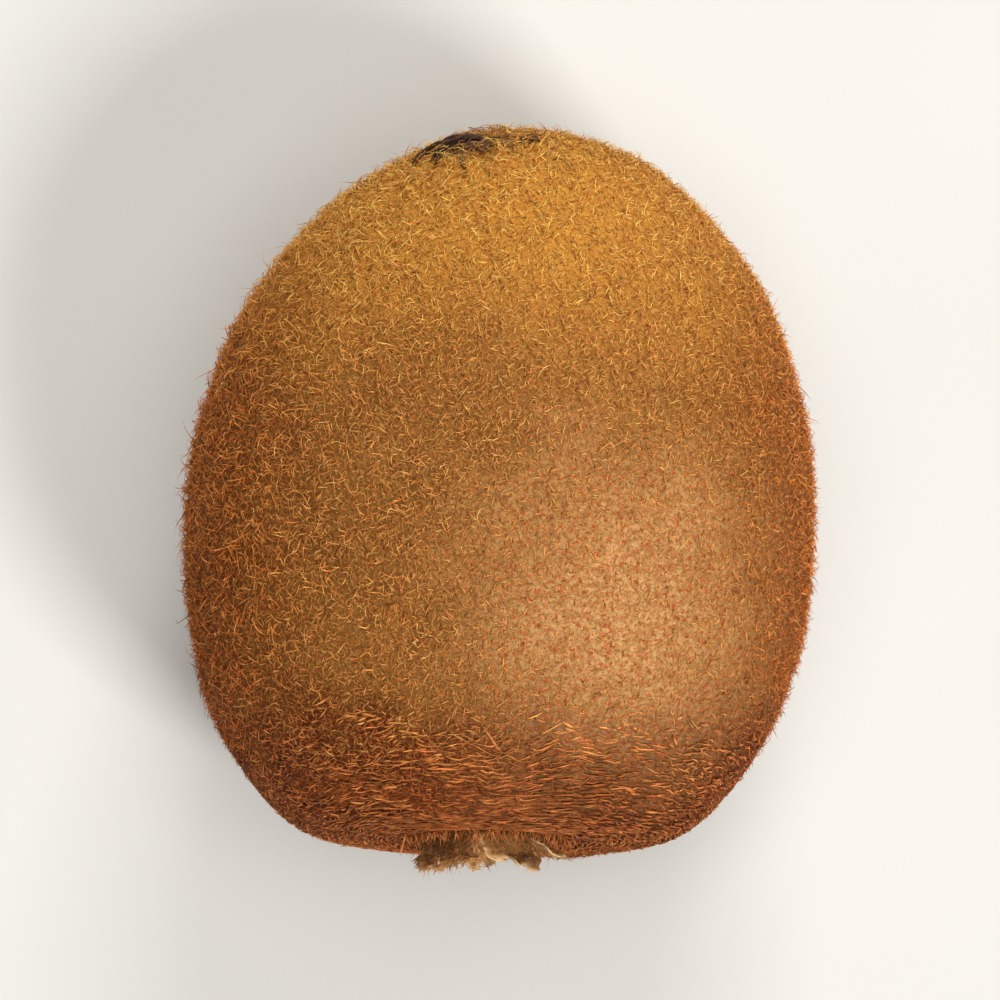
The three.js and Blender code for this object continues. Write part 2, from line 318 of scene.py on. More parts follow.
# ------------------------------------------------------------------ the skin
def build_skin():
    rows, cols = 276, 244
    f = np.linspace(0, math.pi, 2001)
    dens = 1 + 1.15 * smooth(1.75, 2.25, f) + 0.35 * (1 - smooth(0.2, 0.6, f))
    cum = np.concatenate([[0], np.cumsum((dens[1:] + dens[:-1]) / 2)])
    phi = np.interp(np.linspace(0, cum[-1], rows + 1), cum, f)[1:-1]
    th = np.linspace(0, 2 * math.pi, cols, endpoint=False)
    P, T = np.meshgrid(phi, th, indexing="ij")
    # each second row is turned by half a step, so that no lines run from end to end
    T = T + (np.arange(len(phi)) % 2)[:, None] * (math.pi / cols)
    P = np.concatenate([[1e-5], P.ravel(), [math.pi - 1e-5]])
    T = np.concatenate([[0.0], T.ravel(), [0.0]])
    x, y, z = unbent(P, T)
    base = shaped(x, y, z, P)
    m = len(phi)
    i, j = np.meshgrid(np.arange(m - 1), np.arange(cols), indexing="ij")
    a = 1 + i * cols + j
    b = 1 + i * cols + (j + 1) % cols
    c = a + cols
    d = b + cols
    even = (i % 2 == 0)[..., None]
    # the diagonal follows the half step
    t1 = np.where(even, np.stack([a, c, b], -1), np.stack([a, c, d], -1)).reshape(-1, 3)
    t2 = np.where(even, np.stack([b, c, d], -1), np.stack([a, d, b], -1)).reshape(-1, 3)
    jj = np.arange(cols)
    top = np.stack([np.zeros(cols, int), 1 + jj, 1 + (jj + 1) % cols], -1)
    o = 1 + (m - 1) * cols
    bottom = np.stack([np.full(cols, len(P) - 1), o + (jj + 1) % cols, o + jj], -1)
    faces = np.concatenate([top, t1, t2, bottom])
    n = vertex_normals(base, faces)
    if np.einsum("ij,ij->i", n, base).mean() < 0:
        faces = faces[:, ::-1]
        n = -n
    zn = zones(x, y, z)
    p = np.stack([x, y, z], -1)
    # slow dimples and a fine unevenness of the flesh under the skin
    h = 0.26 * (fbm(p / 8.5, 2, 11) - 0.5) * 2 + 0.055 * (fbm(p / 1.9, 3, 12) - 0.5) * 2
    # creases round the stem end, made of ridges that run round the core
    arc = arc_of(P)
    row = arc + sway(x, y, z)
    pr, tr = phi_of(np.clip(row, 0, None)), T
    xr, yr, zr = unbent(pr, tr)
    row = arc + sway(xr, yr, zr)
    ring = np.hypot(x, z)
    q = np.stack([row / 1.3, np.cos(T) * ring / 4.0, np.sin(T) * ring / 4.0], -1)
    r1 = 1 - np.abs(2 * noise(q, 22) - 1)
    r2 = 1 - np.abs(2 * noise(q * np.array([1.7, 1.5, 1.5]) + 9.1, 23) - 1)
    crease = 0.6 * r1 + 0.4 * r2
    amount = zn["stem"] * (0.55 + 0.45 * smooth(0.35, 0.6, fbm(p / 4, 2, 24)))
    h = h + amount * 0.30 * (crease - 0.62)
    # the stem scar: a low corky ring with a pit and a torn middle
    stemside = P > math.pi / 2
    ds = np.where(stemside, np.hypot(x - BAS["x"], z - BAS["z"]), 99)
    rough = fbm(p / 0.55, 2, 31) - 0.5
    h = h + 0.42 * np.exp(-(((ds - 1.45 - 0.5 * rough) / 0.38) ** 2)) - 0.55 * np.exp(-((ds / 0.95) ** 2))
    h = h + np.where(ds < 2.2, 0.42 * rough, 0)
    # pleats that run out from the basin
    ang = np.arctan2(z - BAS["z"], x - BAS["x"])
    h = h + np.where(stemside, 0.16 * np.sin(9 * ang + 6 * (fbm(p / 3, 2, 33) - 0.5)) * np.exp(-(((ds - 4.6) / 2.2) ** 2)), 0)
    # the beak: a knobbly end round the styles
    dk = np.where(stemside, 99, np.hypot(x - BEAK["x"], z - BEAK["z"]))
    angk = np.arctan2(z - BEAK["z"], x - BEAK["x"])
    h = h + np.where(dk < 8, 0.2 * np.sin(7 * angk + 5 * (fbm(p / 3, 2, 35) - 0.5)) * np.exp(-(((dk - 2.6) / 1.5) ** 2)), 0)
    v = base + n * h[:, None] + OFFSET
    v[:, 2] = 0.5 * (v[:, 2] + np.sqrt(v[:, 2] ** 2 + 0.06**2))
    ob = new_mesh("kiwi_skin", v * MM, faces)
    for k in ("stem", "gold_and_painted_rim_light", "worn_and_painted_sheen", "flank_painted_shade"):
        add_value(ob, k, zn[k])
    add_value(ob, "crease", crease * amount + (1 - amount) * 0.5)
    add_value(ob, "row", row)
    add_value(ob, "scar", 1 - smooth(1.5, 2.5, ds + 0.8 * rough))
    add_value(ob, "basin", np.exp(-((ds / 4.8) ** 2)))
    add_value(ob, "beak", np.exp(-((dk / 2.0) ** 2)))
    return ob, dict(v=v, f=faces, x=x, y=y, z=z, ds=ds, dk=dk, arc=arc, T=T, **zn)


skin_ob, SK = build_skin()
SK["n"] = vertex_normals(SK["v"], SK["f"])


# ------------------------------------------------------------------ hairs
def scatter(rng, count, weight):
    """Even seeded places on the skin, by weight at each vertex: everything of the skin, at those places."""
    v, f = SK["v"], SK["f"]
    area = np.linalg.norm(np.cross(v[f[:, 1]] - v[f[:, 0]], v[f[:, 2]] - v[f[:, 0]]), axis=1) / 2
    w = area * weight[f].mean(1)
    cum = np.cumsum(w)
    at = (np.arange(count) + rng.random(count)) / count * cum[-1]
    t = np.minimum(np.searchsorted(cum, at), len(f) - 1)
    r1, r2 = np.sqrt(rng.random(count)), rng.random(count)
    bary = np.stack([1 - r1, r1 * (1 - r2), r1 * r2], -1)
    out = {}
    for k in ("v", "n", "x", "y", "z", "ds", "dk", "arc", "stem", "gold_and_painted_rim_light", "worn_and_painted_sheen", "left", "flank_painted_shade"):
        s = SK[k][f[t]]
        out[k] = np.einsum("ij,ij...->i...", bary, s)
    out["n"] = unit(out["n"])
    return out


def tangents(n):
    """Along the core towards the blossom end, and round it."""
    y = np.array([0.0, 1.0, 0.0])
    e1 = y - n * (n @ y)[:, None]
    weak = np.linalg.norm(e1, axis=1) < 0.25
    alt = np.array([0.3, 0.0, 1.0])
    e1[weak] = (alt - n * (n @ alt)[:, None])[weak]
    e1 = unit(e1)
    return e1, np.cross(n, e1)


def hairs(root, n, e1, e2, az, curl, el0, el1, length, radius, steps, taper=0.6, sink=0.05, floor=True):
    """Hairs that leave the skin at root in the direction az, el and curl over."""
    pts = [root - n * sink]
    dirs = []
    for k in range(steps):
        t = (k + 0.5) / steps
        a = az + curl * t
        el = el0 + (el1 - el0) * t
        d = np.cos(el)[:, None] * (np.cos(a)[:, None] * e1 + np.sin(a)[:, None] * e2) + np.sin(el)[:, None] * n
        dirs.append(d)
        q = pts[-1] + d * (length / steps)[:, None]
        if floor:
            q[:, 2] = np.maximum(q[:, 2], radius + 0.02)
        pts.append(q)
    return spikes(pts, n, [radius * (1 - taper * k / steps) for k in range(steps)], floor)


def spikes(pts, n, radii, floor=True):
    """Three-sided closed spikes along the paths pts, a list of (count, 3) in mm.
    Returns vertices (mm), faces, and where each vertex is along its hair."""
    count, steps = len(n), len(pts) - 1
    verts = np.zeros((count, 3 * steps + 1, 3))
    along = np.zeros((count, 3 * steps + 1))
    for k in range(steps):
        d = unit(pts[k + 1] - pts[k]) if k == 0 else unit(pts[k + 1] - pts[k - 1])
        side = unit(np.cross(d, n) + 1e-9)
        up = np.cross(side, d)
        r = radii[k]
        for s in range(3):
            g = 2 * math.pi * s / 3 + 0.5
            verts[:, 3 * k + s] = pts[k] + (side * math.cos(g) + up * math.sin(g)) * r[:, None]
        along[:, 3 * k : 3 * k + 3] = k / steps
    verts[:, -1] = pts[-1]
    along[:, -1] = 1
    if floor:
        verts[..., 2] = np.maximum(verts[..., 2], 0.004)
    tri, uvs = [], []
    m = 0.14
    span = 1 - 2 * m
    for k in range(steps - 1):
        for s in range(3):
            a, b = 3 * k + s, 3 * k + (s + 1) % 3
            c, d = a + 3, b + 3
            u0, u1 = m + span * s / 3, m + span * (s + 1) / 3
            v0, v1 = m + span * k / steps, m + span * (k + 1) / steps
            tri += [(a, b, c), (b, d, c)]
            uvs += [(u0, v0, u1, v0, u0, v1), (u1, v0, u1, v1, u0, v1)]
    for s in range(3):
        a, b = 3 * (steps - 1) + s, 3 * (steps - 1) + (s + 1) % 3
        u0, u1 = m + span * s / 3, m + span * (s + 1) / 3
        v0 = m + span * (steps - 1) / steps
        tri.append((a, b, 3 * steps))
        uvs.append((u0, v0, u1, v0, (u0 + u1) / 2, 1 - m))
    tri.append((0, 2, 1))
    uvs.append((m, m, 1 - m, m, 0.5, 0.3 * m))
    tri, uvs = np.array(tri), np.array(uvs).reshape(-1, 3, 2)
    faces = (np.arange(count)[:, None, None] * (3 * steps + 1) + tri[None]).reshape(-1, 3)
    grid = int(math.ceil(math.sqrt(count)))
    cell = np.stack([np.arange(count) % grid, np.arange(count) // grid], -1) / grid
    uv = (cell[:, None, None, :] + uvs[None] / grid).reshape(-1, 2)
    return verts.reshape(-1, 3), faces, along.reshape(-1), uv, 3 * steps + 1


def hair_colours(rng, z, count, stub):
    """A colour for each hair: golden at the blossom end, partly a painted rim light; redder and darker towards the
    stem; darker and redder on the flanks and round the stem basin as painted shade.
    """
    golden, mid, red = lin(255, 193, 97), lin(232, 160, 84), lin(190, 116, 64)
    c = mix(mix(mid, golden, z["gold_and_painted_rim_light"][:, None]), red, z["stem"][:, None])
    # painted shade: hairs darker and redder on the flanks
    side = mix(np.array([0.86, 0.68, 0.52]), np.array([0.84, 0.60, 0.48]), smooth(2, -14, z["y"])[:, None])
    c = c * mix(np.ones(3), side, z["flank_painted_shade"][:, None])
    pale, rust = lin(240, 196, 124), lin(202, 106, 60)
    u = rng.random(count)[:, None]
    c = mix(c, pale, np.where(u < 0.2, rng.random(count)[:, None] * (0.6 - 0.4 * z["stem"][:, None]), 0.0))
    c = mix(c, rust, np.where(u > 0.7, rng.random(count)[:, None] * 0.85, 0.0))
    if stub:
        c = mix(c, lin(202, 100, 58), z["worn_and_painted_sheen"][:, None] * 0.75)
    # painted shade: hairs darker round the stem basin, in its hollow
    c = c * (1 - 0.62 * smooth(8.0, 4.6, z["ds"]))[:, None]
    return c * np.clip(np.exp(rng.normal(0, 1, count) * (0.27 + 0.08 * z["stem"])), 0.5, 1.3)[:, None]


def fuzz_piece(name, rng, count, weight, steps, length, radius, el0, el1, spread, curl, root_dark=0.55, flat=False, gain=None):
    z = scatter(rng, count, weight)
    n = z["n"]
    e1, e2 = tangents(n)
    p = z["v"]
    # the lie of the hair drifts slowly over the fruit, and turns round the core where it is matted down
    flow = (fbm(p / 9.0, 2, 61) - 0.5) * 9.0
    round_core = np.where(rng.random(count) < 0.5, 0.5, -0.5) * math.pi
    lie = flow + rng.normal(0, 1, count) * spread
    matted = round_core + rng.normal(0, 0.34, count)
    az = np.where(rng.random(count) < smooth(0.15, 0.9, z["stem"]) * (0.45 + 0.5 * smooth(-12, 0, z["x"])), matted, lie)
    if flat:
        wave = (fbm(p / 2.4, 2, 63) - 0.5) * 1.4
        az = round_core + wave + rng.normal(0, 0.2, count)
    bits = dict(rng=rng, count=count, **z)
    L = length(bits)
    e_a, e_b = el0(bits), el1(bits)
    r = radius(bits)
    v, f, along, uv, per = hairs(
        p, n, e1, e2, az, rng.normal(0, 1, count) * curl(bits), e_a, e_b, L, r, steps
    )
    ob = new_mesh(name, v * MM, f, uv)
    c = hair_colours(rng, z, count, steps == 1)
    if gain is not None:
        c = c * gain
    # painted shade: the roots are darkened and deepened in colour, standing in for light that reaches them only through
    # other hairs; the tips are lightened a little as painted light
    up = smooth(0, 0.75, along)[:, None]
    c = np.repeat(c, per, axis=0) * mix(root_dark * np.array([1.0, 0.82, 0.55]), 1.12, up)
    add_colour(ob, "hcol", np.clip(c, 0.004, 0.95))
    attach(ob, "root")
    return ob


scale = 1.0
clear = smooth(1.9, 2.6, SK["ds"]) * smooth(0.7, 1.3, SK["dk"])  # none on the scar, none on the styles' foot
worn_and_painted_sheen, stem, gold_and_painted_rim_light, left = SK["worn_and_painted_sheen"], SK["stem"], SK["gold_and_painted_rim_light"], SK["left"]
fuzz = []


def rad(d):
    return math.radians(d)


# long curved hairs
for i in range(2):
    rng = np.random.default_rng(100 + i)
    fuzz.append(
        fuzz_piece(
            f"fuzz_long_{i + 1}",
            rng,
            int(8600 * scale),
            clear * (1 - 0.80 * worn_and_painted_sheen) * (1 - 0.62 * stem) * (0.72 + 0.65 * gold_and_painted_rim_light + 0.35 * left + 0.8 * np.exp(-((SK["dk"] / 6.0) ** 2))),
            3,
            lambda b: (1.0 + 0.5 * b["left"] + 0.1 * b["gold_and_painted_rim_light"] + 0.4 * np.exp(-((b["dk"] / 6.0) ** 2))) * np.exp(b["rng"].normal(0, 0.26, b["count"])) * (1 - 0.05 * b["stem"]),
            lambda b: 0.050 * np.exp(b["rng"].normal(0, 0.16, b["count"])),
            lambda b: mix(rad(44), rad(20), b["stem"]) + rad(12) * b["rng"].normal(0, 1, b["count"]),
            lambda b: rad(-2) + mix(rad(14), rad(7), b["stem"]) * b["rng"].normal(0, 1, b["count"]),
            2.2,
            lambda b: (1.3 + 0.7 * b["left"]) * (1 - 0.45 * b["stem"]),
        )
    )
# shorter hairs, which are matted down round the stem end
for i in range(2):
    rng = np.random.default_rng(200 + i)
    fuzz.append(
        fuzz_piece(
            f"fuzz_mid_{i + 1}",
            rng,
            int(12500 * scale),
            clear * (1 - 0.60 * worn_and_painted_sheen) * (1 - 0.2 * stem),
            2,
            lambda b: 0.88 * np.exp(b["rng"].normal(0, 0.25, b["count"])) * (1 - 0.2 * b["stem"] - 0.3 * b["worn_and_painted_sheen"]),
            lambda b: 0.050 * np.exp(b["rng"].normal(0, 0.14, b["count"])),
            lambda b: mix(rad(56), rad(16), np.maximum(b["stem"], 0.7 * b["worn_and_painted_sheen"])) + rad(12) * b["rng"].normal(0, 1, b["count"]),
            lambda b: mix(rad(24), rad(0), b["stem"]) + rad(14) * b["rng"].normal(0, 1, b["count"]),
            2.2,
            lambda b: 1.0,
        )
    )
# bristles that stand up on the lip round the sepals
fuzz.append(
    fuzz_piece(
        "fuzz_lip",
        np.random.default_rng(230),
        int(560 * scale),
        np.exp(-(((SK["ds"] - 5.9) / 0.9) ** 2)),
        3,
        lambda b: 1.15 * np.exp(b["rng"].normal(0, 0.28, b["count"])),
        lambda b: 0.046 * np.exp(b["rng"].normal(0, 0.15, b["count"])),
        lambda b: rad(58) + rad(12) * b["rng"].normal(0, 1, b["count"]),
        lambda b: rad(72) + rad(14) * b["rng"].normal(0, 1, b["count"]),
        2.2,
        lambda b: 0.6,
        0.5,
        gain=np.array([1.75, 1.8, 1.8]),
    )
)
# wavy strands, matted down in rows round the stem end
def matted_strands(name, rng, count, steps=5):
    z = scatter(
        rng, count,
        smooth(5.0, 7.6, SK["ds"]) * smooth(0.12, 0.9, stem) ** 1.2 * (1 - 0.45 * worn_and_painted_sheen) * (0.55 + 0.45 * smooth(-17, -5, SK["x"])),
    )
    row = z["arc"] + rng.normal(0, 0.10, count)
    row = (np.floor(row / ROW) + 0.5 + rng.normal(0, 0.19, count)) * ROW
    length = np.clip(1.35 * np.exp(rng.normal(0, 0.42, count)), 0.6, 3.2) * (0.6 + 0.4 * z["stem"])
    ring = np.maximum(np.hypot(z["x"], z["z"]), 1.2)
    th0 = np.arctan2(z["z"] * HW / HH, z["x"])
    drift = rng.normal(0, 0.16, count) + rng.normal(0, 0.8, count) * (1 - z["stem"])
    radius = 0.064 * np.exp(rng.normal(0, 0.24, count))
    pts = []
    for k in range(steps + 1):
        t = k / steps - 0.5
        th = th0 + t * length / ring
        a0 = np.clip(row, 0.3, None)
        x, y, zz = unbent(phi_of(a0), th)
        a1 = np.clip(row - sway(x, y, zz) + drift * t * length, 0.3, None)
        ph = phi_of(a1)
        q = skin(ph, th) + OFFSET
        e = 0.004
        n = unit(np.cross(skin(ph + e, th) - skin(ph - e, th), skin(ph, th + e) - skin(ph, th - e)))
        n = np.where(((q - OFFSET) * n).sum(-1, keepdims=True) < 0, -n, n)
        lift = 0.10 * (1 - (2 * t) ** 2) + 0.02 * rng.normal(0, 1, count) - np.where(k == 0, 0.06, 0.0)
        q = q + n * (lift + 0.05)[:, None]
        q[:, 2] = np.maximum(q[:, 2], radius + 0.02)
        pts.append(q)
        if k == steps // 2:
            mid = n
    prof = [0.5 + 0.5 * math.sin(math.pi * (0.06 + 0.84 * k / steps)) for k in range(steps)]
    v, f, along, uv, per = spikes(pts, mid, [radius * w for w in prof])
    ob = new_mesh(name, v * MM, f, uv)
    c = hair_colours(rng, z, count, False)
    c = c * np.exp(np.minimum(rng.normal(-0.09, 0.28, count), 0.12) - 0.2 * smooth(0.75, 1.0, z["stem"]))[:, None]
    c = c * mix(np.ones(3), np.array([1.0, 0.92, 0.82]), smooth(0.6, 1.0, z["stem"])[:, None])
    # painted shade: darker on the flanks
    c = c * (1 - 0.28 * z["flank_painted_shade"] * smooth(1.0, 0.5, z["stem"]))[:, None]
    # painted shade and light: each strand darker at both ends, where it lies on the skin, and lighter in its raised
    # middle
    up = np.sin(np.pi * np.clip(along, 0.05, 0.95))[:, None]
    c = np.repeat(c, per, axis=0) * mix(0.5 * np.array([1.0, 0.78, 0.52]), 1.16, up)
    add_colour(ob, "hcol", np.clip(c, 0.004, 0.95))
    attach(ob, "root")
    return ob


fuzz.append(matted_strands("fuzz_matted", np.random.default_rng(250), int(5200 * scale)))
# the shortest: underfur, and the stubs of rubbed hairs
rng = np.random.default_rng(300)
fuzz.append(
    fuzz_piece(
        "fuzz_short",
        rng,
        int(28200 * scale),
        clear * (1 + 0.1 * worn_and_painted_sheen),
        1,
        lambda b: mix(0.55, 0.34, b["worn_and_painted_sheen"]) * np.exp(b["rng"].normal(0, 0.22, b["count"])),
        lambda b: mix(0.055, 0.075, b["worn_and_painted_sheen"]) * np.exp(b["rng"].normal(0, 0.15, b["count"])),
        lambda b: mix(rad(32), rad(16), b["stem"]) + rad(13) * b["rng"].normal(0, 1, b["count"]),
        lambda b: rad(20) + 0 * b["worn_and_painted_sheen"],
        1.6,
        lambda b: 0.0,
        0.74,
    )
)


# ------------------------------------------------------------------ tubes
def tube(path, radii, sides=6, squash_dir=None, squash=1.0):
    """A closed round-ended tube along the points of path (mm)."""
    path = np.asarray(path, float)
    t = unit(np.gradient(path, axis=0))
    ref = np.array([0.3, 0.2, 0.93])
    a = unit(np.cross(t, ref))
    for k in range(1, len(a)):  # carried along without twist
        a[k] = unit(a[k - 1] - t[k] * (a[k - 1] @ t[k]))
    b = np.cross(t, a)
    v = []
    for k in range(len(path)):
        for s in range(sides):
            g = 2 * math.pi * s / sides
            v.append(path[k] + (a[k] * math.cos(g) + b[k] * math.sin(g) * squash) * radii[k])
    m = len(path)
    v += [path[0] - t[0] * radii[0] * 0.6, path[-1] + t[-1] * radii[-1] * 0.8]
    f = []
    for k in range(m - 1):
        for s in range(sides):
            p, q = k * sides + s, k * sides + (s + 1) % sides
            f += [(p, q, p + sides), (q, q + sides, p + sides)]
    for s in range(sides):
        f.append((m * sides, (s + 1) % sides, s))
        f.append((m * sides + 1, (m - 1) * sides + s, (m - 1) * sides + (s + 1) % sides))
    return np.array(v), np.array(f)


def joined(parts):
    vs, fs, cs, n = [], [], [], 0
    for v, f, c in parts:
        vs.append(v)
        fs.append(f + n)
        cs.append(c)
        n += len(v)
    return np.concatenate(vs), np.concatenate(fs), np.concatenate(cs)


# ------------------------------------------------------------------ the dried sepals
SEPALS = [
    # name, direction, start, length, half width, slope at the foot, in the middle and at the tip, sweep,
    # curl of the edges, how much longer one side is
    ("sepal_1", 134, 2.3, 4.4, 3.5, 16, 48, 36, 4, 0.2, 0.03),
    ("sepal_2", 62, 2.2, 4.4, 2.9, 16, 52, 16, -6, 0.45, 0.2),
    ("sepal_3", 346, 2.1, 4.1, 2.1, 6, 20, 4, 8, 0.5, 0.0),
    ("sepal_4", 274, 2.1, 4.2, 2.2, 8, 24, 6, -8, 0.45, 0.1),
    ("sepal_5", 206, 2.1, 4.4, 2.2, 10, 34, 20, 4, 0.6, -0.1),
]
sepal_hair = []


def sepal(index, name, direction, start, length, half, foot, middle, end, sweep, curl, skew):
    nu, nv = 27, 37
    u = np.linspace(-1, 1, nu)
    t = np.linspace(0, 1, nv)
    T, U = np.meshgrid(t, u, indexing="ij")
    seedp = np.array([index * 7.7, 0, 0])
    # a ragged outline: narrow foot, widest past the middle, blunt torn tip
    prof = 0.56 + 0.44 * np.sin(np.pi * np.clip(0.06 + 0.80 * T, 0, 1)) ** 1.1
    tip = np.sqrt(np.clip(1 - ((T - 0.8) / 0.2) ** 2, 0, 1))
    width = half * prof * np.where(T > 0.8, 0.42 + 0.58 * tip, 1)
    edge = fbm(np.stack([T * 7, np.sign(U) * 3, 0 * T], -1) + seedp, 3, 41) - 0.5
    width = width * (1 + 0.36 * edge)
    # the sheet leaves the fruit flat, stands up, and bends back at the tip
    slope = np.radians(mix(mix(foot, middle, smooth(0.0, 0.5, t)), end, smooth(0.62, 1.0, t)))
    step = length / (nv - 1)
    run = np.concatenate([[0], np.cumsum(np.cos(slope[:-1]) * step)])
    climb = np.concatenate([[0], np.cumsum(np.sin(slope[:-1]) * step)])
    ragged = 1 + skew * U * T + (0.18, 0.13, 0.34, 0.34, 0.34)[index] * (fbm(np.stack([U * 2.2, 0 * U, 0 * U], -1) + seedp, 3, 43) - 0.5) * 2 * T**2
    reach = start + np.interp(T * ragged, t, run) + np.maximum(T * ragged - 1, 0) * length * np.cos(slope[-1])
    height = np.interp(T * ragged, t, climb) + np.maximum(T * ragged - 1, 0) * length * np.sin(slope[-1])
    ang = np.radians(direction + sweep * T) + 0.10 * (noise(np.stack([T * 2.5, 0 * T, 0 * T], -1) + seedp, 44) - 0.5) * 4 * T
    cx = BAS["x"] + reach * np.cos(ang)
    cz = BAS["z"] + reach * np.sin(ang)
    p, n, tv, sv = end_frame(-1, cx.ravel(), cz.ravel(), ang.ravel())
    p, n, tv, sv = (q.reshape(nv, nu, 3) for q in (p, n, tv, sv))
    crumple = fbm(np.stack([T * 4.2, U * 1.6, 0 * T], -1) + seedp, 3, 45) - 0.5
    fine = fbm(np.stack([T * 16, U * 7, 0 * T], -1) + seedp, 2, 46) - 0.5
    vein = -0.14 * np.exp(-((U / 0.12) ** 2)) * (1 - T) - 0.05 * np.exp(-(((np.abs(U) - 0.45) / 0.1) ** 2)) * (1 - T)
    # pleats along the dried sheet
    vein = vein + 0.13 * np.sin(U * 9.0 + 2.2 * crumple + index) * (0.3 + 0.7 * T) * (1 - 0.5 * np.abs(U))
    if index == 0:
        vein = vein - 0.5 * np.exp(-(((U + 0.35 - 0.1 * T) / 0.1) ** 2)) * (0.4 + 0.6 * T)
    lateral = U * width
    rise = (
        0.12
        + height
        + curl * np.abs(U) ** 2.4 * (0.25 + 0.75 * T) * (0.7 + 0.9 * (fbm(np.stack([T * 3, np.sign(U) * 2, 0 * T], -1) + seedp, 2, 47) - 0.3))
        + 0.8 * crumple * (0.2 + 0.8 * T)
        + 0.14 * fine
        + vein
    )
    # edges that curl up also draw in
    lateral = lateral * (1 - 0.16 * np.clip(curl, 0, 2) * np.abs(U) ** 2 * T)
    rise = np.maximum(rise, 0.06)
    mid = p + sv * lateral[..., None] + n * rise[..., None]
    # the sheet's own normal, for its thickness
    du = np.gradient(mid, axis=1)
    dt = np.gradient(mid, axis=0)
    sn = unit(np.cross(dt, du))
    sn = sn if (sn * n).sum(-1).mean() > 0 else -sn
    rim = np.minimum((1 - np.abs(U)) * 4, 1) * np.minimum((1 - T) * 6, 1)
    thick = 0.07 + 0.20 * np.sqrt(np.clip(rim, 0, 1)) * (1 - 0.35 * T)
    upper = mid + sn * thick[..., None] / 2
    lower = mid - sn * thick[..., None] / 2
    v = np.concatenate([upper.reshape(-1, 3), lower.reshape(-1, 3)])
    N = nu * nv
    i, j = np.meshgrid(np.arange(nv - 1), np.arange(nu - 1), indexing="ij")
    a = (i * nu + j).ravel()
    q = np.stack([a, a + 1, a + nu + 1, a + nu], -1)
    up_f = np.concatenate([q[:, [0, 1, 2]], q[:, [0, 2, 3]]])
    lo_f = up_f[:, ::-1] + N
    rimline = (
        [(0, k) for k in range(nu)]
        + [(k, nu - 1) for k in range(1, nv)]
        + [(nv - 1, k) for k in range(nu - 2, -1, -1)]
        + [(k, 0) for k in range(nv - 2, 0, -1)]
    )
    r = np.array([a_ * nu + b_ for a_, b_ in rimline])
    r2 = np.roll(r, -1)
    side_f = np.concatenate([np.stack([r, r + N, r2], -1), np.stack([r2, r + N, r2 + N], -1)])
    f = np.concatenate([up_f, lo_f, side_f])
    vol = np.einsum("ij,ij->i", v[f[:, 0]], np.cross(v[f[:, 1]], v[f[:, 2]])).sum()
    if vol < 0:
        f = f[:, ::-1]
    ob = new_mesh(name + "_flap", (v + OFFSET) * MM, f)
    edge_v = np.maximum((np.maximum(-U, 0) if index == 1 else np.abs(U)) ** 9, T ** (12 if index == 1 else 16))
    add_value(ob, "edge", np.concatenate([edge_v.ravel()] * 2))
    add_value(ob, "along", np.concatenate([T.ravel()] * 2))
    # the sheet's lower face is paler, most on the widest sepal: partly its own paler face, partly painted light on a
    # face that lies in shade
    pale = smooth(-0.5, 0.35, U + 0.3 * crumple) if index == 0 else 0.25 + 0 * U
    add_value(ob, "lower_face_pale_and_painted_light", np.concatenate([np.zeros(N), pale.ravel()]))
    add_value(ob, "relief", np.concatenate([(crumple + 0.5 * fine).ravel()] * 2) + 0.5)
    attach(ob, "root")
    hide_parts(name)
    # felted hair on both faces and a fringe on the edges
    rng = np.random.default_rng(500 + index)
    k = int((1900, 200, 360, 360, 360)[index] * max(scale, 0.4))
    ti, ui = rng.random(k) ** 0.8, rng.random(k) * 2 - 1
    ui = np.where(rng.random(k) < 0.06, np.sign(ui) * (1 - 0.04 * rng.random(k)), ui)
    gi, gj = ti * (nv - 1.001), (ui + 1) / 2 * (nu - 1.001)
    i0, j0 = gi.astype(int), gj.astype(int)
    fi, fj = (gi - i0)[:, None], (gj - j0)[:, None]

    def sample(A):
        return (A[i0, j0] * (1 - fi) + A[i0 + 1, j0] * fi) * (1 - fj) + (A[i0, j0 + 1] * (1 - fi) + A[i0 + 1, j0 + 1] * fi) * fj

    face = np.where(rng.random(k) < 0.45, 1.0, -1.0)[:, None]
    nn = unit(sample(sn)) * face
    root = np.where(face > 0, sample(upper), sample(lower))
    tt = unit(sample(unit(dt)))
    tt = unit(tt - nn * (tt * nn).sum(1, keepdims=True))
    ss = np.cross(nn, tt)
    # on the widest sepal the felt runs straight out from the fruit
    out = np.array([0.0, -1.0, 0.0])
    az = rng.normal(0, 0.2, k) + np.arctan2(ss @ out, tt @ out) if index == 0 else rng.normal(0, 0.9, k)
    ve, fa, al, _, per = hairs(
        root + OFFSET, nn, tt, ss, az, rng.normal(0, 0.5, k),
        np.radians((9 if index == 0 else 26) + (6 if index == 0 else 9) * rng.normal(0, 1, k)), np.radians(2 + 7 * rng.normal(0, 1, k)),
        (0.68 if index == 0 else 0.46) * np.exp(rng.normal(0, 0.25, k)), 0.040 * np.exp(rng.normal(0, 0.15, k)), 2, 0.6, 0.02,
    )
    # painted light: hairs on the sheet's lower face are lightened, most on the widest sepal, whose lower face lies in
    # shade
    lower_face_painted_light = (face < 0) * (1.0 if index == 0 else 0.3)
    streak = smooth(0.3, 0.7, noise(np.stack([root[:, 0] * 2.6, 0 * ui, 0 * ui + index], -1), 48))[:, None]
    c = mix(lin(150, 94, 46), lin(228, 170, 108), 0.35 * rng.random(k)[:, None] + 0.65 * streak) * (1 + 0.3 * lower_face_painted_light * (0.5 + 0.8 * smooth(-0.4, 0.4, ui)[:, None])) * np.exp(rng.normal(0, 0.16, k))[:, None]
    # painted shade: each hair darker at its root, lighter at its tip
    c = np.repeat(c, per, axis=0) * mix(0.7, 1.1, al)[:, None]
    sepal_hair.append((ve, fa, c))
    return ob


